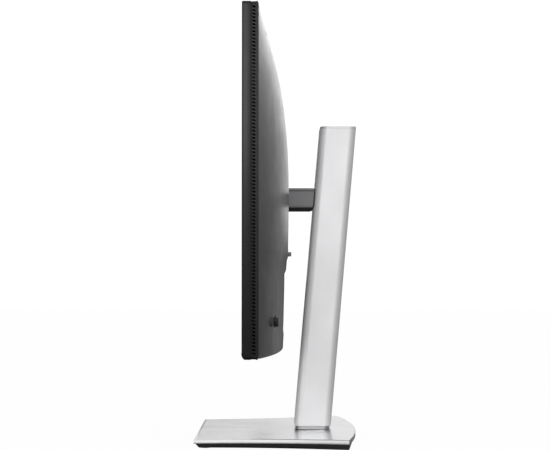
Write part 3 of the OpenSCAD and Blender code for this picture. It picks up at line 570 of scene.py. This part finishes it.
def make_vent_frame():
    """The slotted band with its ridge and groove; the slots are built in as slanting tunnels."""
    front = vent_low.y
    outer, inner = 0.4, 3.4  # insets of the slotted strips' two sides, in mm
    first, last = 0.15, 3.9  # depths of the strips' edges, in mm
    spec = [  # inset, corner radius, depth behind the front frame; in mm
        (inner, 1.2, 0), (0.5, 2.6, 0), (outer, 2.6, first), (outer, 2.6, last), (0.12, 2.9, 4.15),
        (0, 3.0, 4.35), (0, 3.0, 5.55), (0.15, 2.9, 5.75), (1.4, 2.4, 5.9), (1.4, 2.4, 6.6),
        (inner, 1.2, 6.6), (inner, 1.2, last), (inner, 1.2, first)]
    rings = [frame_ring(a * MM, a * MM, a * MM, r * MM, front + d * MM) for a, r, d in spec]
    obj = loft("vent_frame_slotted", rings, closed=True, crease=50)
    # Take out the plain side faces between the vents' ends, then fill in the slotted strips
    bm = bmesh.new()
    bm.from_mesh(obj.data)
    near, far = front + first * MM, front + last * MM

    def is_plain(f):
        ys = [v.co.y for v in f.verts]
        zs = [v.co.z for v in f.verts]
        flat = abs(min(ys) - near) < WELD and abs(max(ys) - far) < WELD
        return flat and abs(min(zs) - VENT_LOW) < WELD and abs(max(zs) - VENT_HIGH) < WELD

    bmesh.ops.delete(bm, geom=[f for f in bm.faces if is_plain(f)], context="FACES_ONLY")
    slot_near, slot_far = front + 0.35 * MM, front + 3.45 * MM
    half_slot, slant = 1.1 * MM, 0.45 * MM
    for side in (-1, 1):
        for i in range(VENTS):
            z0 = VENT_LOW + i * VENT_PITCH
            z1 = z0 + VENT_PITCH
            mid = (z0 + z1) / 2
            tunnels = []
            for inset in (outer * MM, inner * MM):
                x = side * (HALF_W - inset)
                cell = [bm.verts.new(p) for p in ((x, near, z0), (x, far, z0), (x, far, z1), (x, near, z1))]
                slot = [bm.verts.new(p) for p in (
                    (x, slot_near, mid + slant - half_slot), (x, slot_far, mid - slant - half_slot),
                    (x, slot_far, mid - slant + half_slot), (x, slot_near, mid + slant + half_slot))]
                for k in range(4):
                    n = (k + 1) % 4
                    bm.faces.new((cell[k], cell[n], slot[n], slot[k]))
                tunnels.append(slot)
            # the tunnel walls take the slots' painted shade
            for k in range(4):
                n = (k + 1) % 4
                bm.faces.new((tunnels[0][k], tunnels[0][n], tunnels[1][n], tunnels[1][k])).material_index = 1
    bm.to_mesh(obj.data)
    bm.free()
    tidy(obj, 50)
    return piece(obj, "head", "vent_frame", "dark_shell", MATERIALS["vent_grey"], MATERIALS["vent_slot_shade"])


# ---------------------------------------------------------------- neck, controls
NECK_LID = 3.4 * MM  # from the neck's top down to its parting line


def column_middle(z):
    """Depth of the leaning column's middle at a height."""
    return FOOT_Y + (z - COLUMN_Z0) * math.tan(LEAN)


def column_front(x, z, gap):
    """Depth of the leaning column's front surface, gap in front of it, followed round its front corners."""
    half_d = (cap_high.y - cap_low.y) / 2
    out = max(0.0, abs(x) - (column_high.x - COLUMN_CORNER))
    back = COLUMN_CORNER - math.sqrt(max(0.0, COLUMN_CORNER ** 2 - out ** 2))
    return column_middle(z) - half_d + back - gap


def neck_outline(inset, steps=8):
    """The neck shroud from behind: tight upper corners, rounder lower ones, a parting line under the lid."""
    top_r, low_r, line = 2.4 * MM, 5.4 * MM, 0.9 * MM
    half, low, high = neck_high.x - inset, neck_low.z + inset, neck_high.z - inset
    radii = [low_r - inset, top_r - inset, top_r - inset, low_r - inset]
    points = rounded_rect(-half, half, low, high, radii, steps)
    seam = neck_high.z - NECK_LID
    right = [(half, seam - line / 2), (half - line, seam - line / 2),
             (half - line, seam + line / 2), (half, seam + line / 2)]
    left = [(-x, z) for x, z in reversed(right)]
    arc = steps + 1
    return points[:arc] + right + points[arc:3 * arc] + left + points[3 * arc:]


def make_neck():
    """The cover round the tilt hinge, open inside, with a notch that clears the hub at full tilt."""
    half, back_trim, seam = neck_high.x, 2.6 * MM, neck_high.z - NECK_LID
    bore_side, bore_half, bore_far = 2 * MM, 9.9 * MM, 80 * MM
    notch_w, notch_h, notch_depth = 10 * MM, 20 * MM, 3 * MM
    rings = []
    for inset, depth in ((1.6, 0), (0.7, 0.15), (0.2, 0.6), (0, 1.4)):
        rings.append([(x, neck_low.y + depth * MM, z) for x, z in neck_outline(inset * MM)])
    for inset, gap in ((0, back_trim), (0.6 * MM, back_trim), (0.6 * MM, 0.5 * MM)):
        rings.append([(x, column_front(x, z, gap), z) for x, z in neck_outline(inset)])
    obj = loft("neck_shroud", rings, crease=45)
    cut(obj, [slab("bore", -half + bore_side, half - bore_side, 0, bore_far,
                   AXIS_Z - bore_half, AXIS_Z + bore_half, 1.5 * MM),
              slab("hub_notch", -notch_w, notch_w, 0, neck_low.y + notch_depth,
                   AXIS_Z - notch_h, AXIS_Z + notch_h)], crease=45)
    piece(obj, "carriage", "neck_cover", "dark_shell", MATERIALS["mid_grey"], MATERIALS["shade_and_seam_black"])
    underside, hair, seam_half, seam_depth = -0.6, 0.1 * MM, 0.5 * MM, 1.2 * MM
    for face in obj.data.polygons:  # painted shade: the black on the underside and on the strip next to the column stands in for their shade; in the parting line it is the seam's dark joint
        x, y, z = face.center
        in_seam = abs(z - seam) < seam_half and half - seam_depth < abs(x) < half - hair
        if face.normal.z < underside or in_seam or y > column_front(x, z, back_trim - hair):
            face.material_index = 1
    return obj


def make_power_button():
    x, z = (power_low.x + power_high.x) / 2, (power_low.z + power_high.z) / 2
    back, face = power_low.y, power_high.y
    flange, key = 5.6 * MM, 4 * MM
    profile = [(back, flange), (back + 1.2 * MM, flange), (back + 1.2 * MM, key), (face - 0.6 * MM, key),
               (face - 0.25 * MM, 3.9 * MM), (face - 0.05 * MM, 3.55 * MM), (face, 3.1 * MM),
               (face - 0.15 * MM, 2.2 * MM), (face - 0.25 * MM, 0.6 * MM)]
    obj = lathe("power_key", x, z, profile)
    return piece(obj, "power_button", "power_button", "black_plastic", MATERIALS["control_painted_light"])


def make_joystick():
    x, z = (stick_low.x + stick_high.x) / 2, (stick_low.z + stick_high.z) / 2
    back, face = stick_low.y, stick_high.y
    neck = face - 4.2 * MM
    profile = [(back, 1.6 * MM), (neck, 1.6 * MM), (neck, 3.6 * MM), (neck + 0.3 * MM, 4.1 * MM),
               (face - 1.3 * MM, 4.75 * MM), (face - 0.7 * MM, 5 * MM), (face - 0.25 * MM, 4.95 * MM),
               (face - 0.02 * MM, 4.6 * MM), (face - 0.1 * MM, 4.1 * MM), (face - 0.7 * MM, 3 * MM),
               (face - 0.9 * MM, 1.6 * MM), (face - 0.7 * MM, 1.2 * MM), (face - 0.6 * MM, 0.4 * MM)]
    obj = lathe("joystick_nub", x, z, profile, sides=96, ribs=24, rib_depth=0.03)
    return piece(obj, "joystick_cap", "joystick_cap", "black_plastic", MATERIALS["control_painted_light"])


def make_release_button():
    back, face = release_low.y, release_high.y
    half, z0, z1 = 10 * MM, release_high.z - 5 * MM, release_high.z
    grooves, first_groove, groove_pitch = 4, 6.9, 1.5  # places in mm from the key's end
    spec = [(0, back), (0, face - 7.2 * MM)]  # inset in mm, depth
    for i in range(grooves):
        start = face - (first_groove - groove_pitch * i) * MM
        spec += [(0, start), (0.25, start + 0.25 * MM), (0.25, start + 0.55 * MM), (0, start + 0.8 * MM)]
    spec += [(0, face - 0.8 * MM), (0.2, face - 0.3 * MM), (0.8, face)]
    rings = []
    for inset, y in spec:
        i = inset * MM
        outline = rounded_rect(-half + i, half - i, z0 + i, z1 - i, [1.2 * MM] * 4, 5)
        rings.append([(x, y, z) for x, z in outline])
    obj = loft("release_key", rings, crease=40)
    return piece(obj, "release_button", "release_button", "black_plastic", MATERIALS["mid_grey"])


# ---------------------------------------------------------------- column
def make_column():
    """The leaning hollow column: set-in skirt over the base, front slot for the arm, opening for cables."""
    wall, edge, skirt = 2.4 * MM, 0.4 * MM, 1.6 * MM
    end = column_low.z + 3.6 * MM
    sunk = 0.35 * MM  # at 0.5 mm the skirt meets the base plate when it swivels
    tilt = math.tan(LEAN)
    half_w = column_high.x
    half_d = (column_high.y - column_low.y - (column_high.z - COLUMN_Z0) * tilt) / 2

    def ring(inset, z):
        outline = rounded_rect(-half_w + inset, half_w - inset, -half_d + inset, half_d - inset,
                               [COLUMN_CORNER - inset] * 4, 12)
        return [(x, column_middle(z) + y, z) for x, y in outline]

    rings = [ring(skirt, column_low.z - sunk), ring(skirt, end), ring(edge, end), ring(0, end + edge),
             ring(0, column_high.z)]
    obj = loft("column_shell", rings, crease=40)
    cut(obj, [loft("bore", [ring(wall, column_low.z - 2 * MM), ring(wall, column_high.z + MM)])], crease=40)
    slot_z, hole_z, reach = COLUMN_Z0 + 171.35 * MM, COLUMN_Z0 + 69.7 * MM, 60 * MM
    slot_half, hole_w, hole_h = 11 * MM, 15 * MM, 14 * MM
    outline = rounded_rect(-hole_w, hole_w, hole_z - hole_h, hole_z + hole_h, [5 * MM] * 4)
    hole = loft("cable_hole", [[(x, column_middle(hole_z) + y, z - y * tilt) for x, z in outline]
                               for y in (-reach, reach)])
    slot = slab("arm_slot", -slot_half, slot_half, column_middle(slot_z) - reach, column_middle(slot_z),
                slot_z, column_high.z + MM)
    cut(obj, [slot, hole], crease=40)
    piece(obj, "column", "column", "satin_silver", MATERIALS["satin_silver"], MATERIALS["skirt_painted_shade"])
    # painted shade: the skirt's faces take the darker steel
    for face in obj.data.polygons:
        face.material_index = int(face.center.z < end + edge / 4)
    return obj


# ---------------------------------------------------------------- base
BASE_FRONT = 122 * MM
BASE_REAR = plate_high.x
BASE_BOW = 14 * MM
BASE_FLARE = 2.2  # how late the sides widen towards the rear
BASE_DEPTH = plate_high.y - plate_low.y


def base_outline(inset):
    """The base in plan: a straight front, hollow sides that widen to the rear corners, and a bowed rear."""
    first = plate_low.y + inset
    corner = plate_high.y - BASE_BOW
    sides, bow = 24, 24
    right = []
    for i in range(sides + 1):
        y = first + (corner - first) * i / sides
        t = max(0.0, (y - plate_low.y) / (BASE_DEPTH - BASE_BOW))
        right.append((BASE_FRONT + (BASE_REAR - BASE_FRONT) * t ** BASE_FLARE - inset, y))
    rear = []
    for i in range(1, bow):
        x = (BASE_REAR - inset) * math.cos(math.pi * i / bow)
        rear.append((x, plate_high.y - inset - (BASE_BOW - inset) * (x / (BASE_REAR - inset)) ** 2))
    return right + rear + [(-x, y) for x, y in reversed(right)]


def sloped(outline, front_z, rear_z):
    """Lifts a plan outline onto a plane that rises from the base's front to its rear."""
    return [(x, y, front_z + (rear_z - front_z) * (y - plate_low.y) / BASE_DEPTH) for x, y in outline]


def make_base_plate():
    low_f, low_r, top_f, top_r = 5.9 * MM, 7.4 * MM, 10.1 * MM, 12.8 * MM  # heights at the front and rear
    chamfer, lower_edge = 0.75 * MM, 0.35 * MM
    rings = [sloped(base_outline(0.4 * MM), low_f, low_r),
             sloped(base_outline(0), low_f + lower_edge, low_r + lower_edge),
             sloped(base_outline(0), top_f - chamfer, top_r - chamfer),
             sloped(base_outline(0.25 * MM), top_f - chamfer / 2.6, top_r - chamfer / 2.6),
             sloped(base_outline(chamfer), top_f, top_r),
             sloped(base_outline(3 * MM), top_f, top_r)]
    obj = loft("base_wedge", rings, crease=30)
    recess_r, recess_floor, above, sides = 19.6 * MM, 10.9 * MM, 20 * MM, 96
    recess = []
    for z in (recess_floor, above):
        recess.append([(recess_r * math.cos(a), FOOT_Y + recess_r * math.sin(a), z)
                       for a in (2 * math.pi * k / sides for k in range(sides))])
    cut(obj, [loft("foot_recess", recess)], crease=30)
    return piece(obj, "base", "base_plate", "satin_silver", MATERIALS["base_silver"])


def make_under_tray():
    low, lower_edge = tray_low.z, 0.25 * MM
    rings = [sloped(base_outline(2 * MM), 5.88 * MM, 7.38 * MM),
             sloped(base_outline(2 * MM), 5.5 * MM, 6.9 * MM),
             sloped(base_outline(5.6 * MM), low + lower_edge, low + lower_edge),
             sloped(base_outline(6.1 * MM), low, low)]
    obj = loft("under_tray", rings, crease=30)
    screw_r, screw_top, well_r, well_top = 3.3 * MM, 3.0 * MM, 21 * MM, 4.6 * MM
    screw_places = ((88 * MM, -70 * MM), (100 * MM, 0), (104 * MM, 60 * MM))  # half spacing, depth
    below, sides = -2 * MM, 64
    wells = [(0, FOOT_Y, well_r, well_top)]
    wells += [(sx * px, py, screw_r, screw_top) for sx in (-1, 1) for px, py in screw_places]
    drills = []
    for x, y, r, top in wells:
        drills.append(loft("drill", [[(x + r * math.cos(a), y + r * math.sin(a), z)
                                      for a in (2 * math.pi * k / sides for k in range(sides))]
                                     for z in (below, top)]))
    cut(obj, [join("drills", drills)], crease=30)
    return piece(obj, "base", "under_cover", "black_plastic", MATERIALS["tray_grey"])


rear_cover = make_rear_cover()
front_frame = make_front_frame()
vent_frame = make_vent_frame()
neck = make_neck()
column = make_column()
make_power_button()
make_joystick()
release_key = make_release_button()
make_base_plate()
make_under_tray()


# ---------------------------------------------------------------- floor, light, camera
def lit_for_camera(tree, lit, seen, share):
    """Mixes what lights the object with what the camera sees behind it."""
    path = tree.nodes.new("ShaderNodeLightPath")
    mix = tree.nodes.new("ShaderNodeMixShader")
    factor = tree.nodes.new("ShaderNodeMath")
    factor.operation = "MULTIPLY"
    factor.inputs[1].default_value = share
    tree.links.new(path.outputs["Is Camera Ray"], factor.inputs[0])
    tree.links.new(factor.outputs[0], mix.inputs[0])
    tree.links.new(lit, mix.inputs[1])
    tree.links.new(seen, mix.inputs[2])
    return mix.outputs[0]


def make_floor():
    """A pale floor on a light table, so that it runs into the white behind it."""
    s = Shader("studio_floor")
    s.link(s.tones(s.noise(1.5, 2), (0.17, 0.17, 0.17), (0.19, 0.19, 0.19)), s.bsdf.inputs["Base Color"])
    s.link(s.spread(s.noise(6, 3), 0.6, 0.7), s.bsdf.inputs["Roughness"])
    glow = s.add("ShaderNodeEmission")
    glow.inputs["Strength"].default_value = 1.08  # just over white
    end = s.tree.nodes["Material Output"].inputs["Surface"]
    s.link(lit_for_camera(s.tree, s.bsdf.outputs[0], glow.outputs[0], 0.9), end)
    reach, drop = 12, 0.0002
    corners = [(-reach, -reach, -drop), (reach, -reach, -drop), (reach, reach, -drop), (-reach, reach, -drop)]
    obj = make("floor", corners, [(0, 1, 2, 3)])
    obj.data.materials.append(s.material)


def make_world(near, far_low, far_gain, sides, above):
    """A white studio whose walls by the camera, behind the object and at its sides differ in brightness."""
    world = bpy.data.worlds.new("studio")
    world.use_nodes = True
    tree = world.node_tree
    add, link = tree.nodes.new, tree.links.new
    place, split = add("ShaderNodeTexCoord"), add("ShaderNodeSeparateXYZ")
    link(place.outputs["Generated"], split.inputs[0])

    def step(kind, a, b, c=None):
        node = add("ShaderNodeMath")
        node.operation = kind
        for value, socket in zip((a, b, c), node.inputs):
            if isinstance(value, (int, float)):
                socket.default_value = value
            elif value is not None:
                link(value, socket)
        return node.outputs[0]

    def between(value, low, high, start, end):
        node = add("ShaderNodeMapRange")
        for name, number in (("From Min", low), ("From Max", high), ("To Min", start), ("To Max", end)):
            node.inputs[name].default_value = number
        link(value, node.inputs["Value"])
        return node.outputs["Result"]

    rise = step("POWER", between(split.outputs[2], low=-0.06, high=0.16, start=0, end=1.1), 2)
    drift = between(split.outputs[1], low=-0.08, high=0.04, start=0.78, end=1.05)
    far = step("MULTIPLY", step("MULTIPLY_ADD", rise, far_gain, far_low), drift)
    to_near = step("MAXIMUM", split.outputs[0], 0)
    to_far = step("MAXIMUM", step("MULTIPLY", split.outputs[0], -1), 0)
    near_focus, far_focus = 2, 5  # how narrowly the near and the far wall shine
    beside = step("MULTIPLY", between(split.outputs[2], low=-0.1, high=0.15, start=0.3, end=1.1), sides)
    level = step("MULTIPLY_ADD", step("POWER", to_near, near_focus), step("SUBTRACT", near, beside), beside)
    level = step("MULTIPLY_ADD", step("POWER", to_far, far_focus), step("SUBTRACT", far, beside), level)
    level = step("MULTIPLY_ADD", step("MAXIMUM", split.outputs[2], 0), above, level)
    lit, seen = tree.nodes["Background"], add("ShaderNodeBackground")
    link(level, lit.inputs["Strength"])
    lit.inputs["Color"].default_value = (1, 1, 1, 1)
    seen.inputs["Color"].default_value = (1, 1, 1, 1)
    seen.inputs["Strength"].default_value = 1.05  # just over white
    sky = lit_for_camera(tree, lit.outputs[0], seen.outputs[0], 1)
    link(sky, tree.nodes["World Output"].inputs["Surface"])
    bpy.context.scene.world = world


def soft_box(name, place, target, width, height, watts, spread=math.pi, only=()):
    """A soft light; only names the pieces it lights, where it is flagged off the rest."""
    light = bpy.data.lights.new(name, "AREA")
    light.shape, light.size, light.size_y, light.energy = "RECTANGLE", width, height, watts
    light.spread = spread
    obj = bpy.data.objects.new(name, light)
    bpy.context.scene.collection.objects.link(obj)
    obj.location = place
    obj.rotation_mode = "QUATERNION"
    obj.rotation_quaternion = (Vector(target) - Vector(place)).to_track_quat("-Z", "Y")
    obj.visible_camera = False
    if only:
        group = bpy.data.collections.new(name + "_lights")
        for piece_lit in only:
            group.objects.link(piece_lit)
        obj.light_linking.receiver_collection = group
        obj.light_linking.blocker_collection = group


make_floor()
make_world(near=0.95, far_low=0.05, far_gain=0.85, sides=0.3, above=0.3)
soft_box("rim_light", (-0.9, 0.75, 1.1), (0.2, 0, 0.38), 0.7, 0.7, 11, only=[rear_cover])
soft_box("glow_light", (-1.6, 0.1, 0.6), (0.2, 0, 0.35), 0.7, 0.6, 3, only=[rear_cover])
soft_box("side_light", (HALF_W + 0.5, -0.02, 0.45), (0, -0.02, 0.45), 0.2, 0.2, 0.45,
         spread=math.radians(90), only=[front_frame, vent_frame])
soft_box("corner_light", (HALF_W + 0.6, -1.0, 0.3), (0, 0.04, 0.25), 0.5, 0.5, 3, only=[column])
soft_box("stand_light", (HALF_W + 1.5, 0.12, 0.3), (0, 0.06, 0.2), 1.3, 1.3, 11.5,
         only=[neck, release_key, column, frame["nodes"]["column_cap"]])
bpy.context.scene.view_settings.view_transform = "Standard"

camera = bpy.data.cameras.new("camera")
camera.sensor_width = 36
camera.lens = 89.7
camera.clip_start, camera.clip_end = 0.05, 60
eye = bpy.data.objects.new("camera", camera)
bpy.context.scene.collection.objects.link(eye)
PITCH = math.radians(2.73)
EYE_OUT, EYE_Y, EYE_Z = 1.352, -0.0027, 0.1765  # beyond the head's near side edge, and where it stands
eye.location = (HALF_W + EYE_OUT, EYE_Y, EYE_Z)
eye.rotation_mode = "QUATERNION"
eye.rotation_quaternion = Vector((-math.cos(PITCH), 0, math.sin(PITCH))).to_track_quat("-Z", "Y")
bpy.context.scene.camera = eye
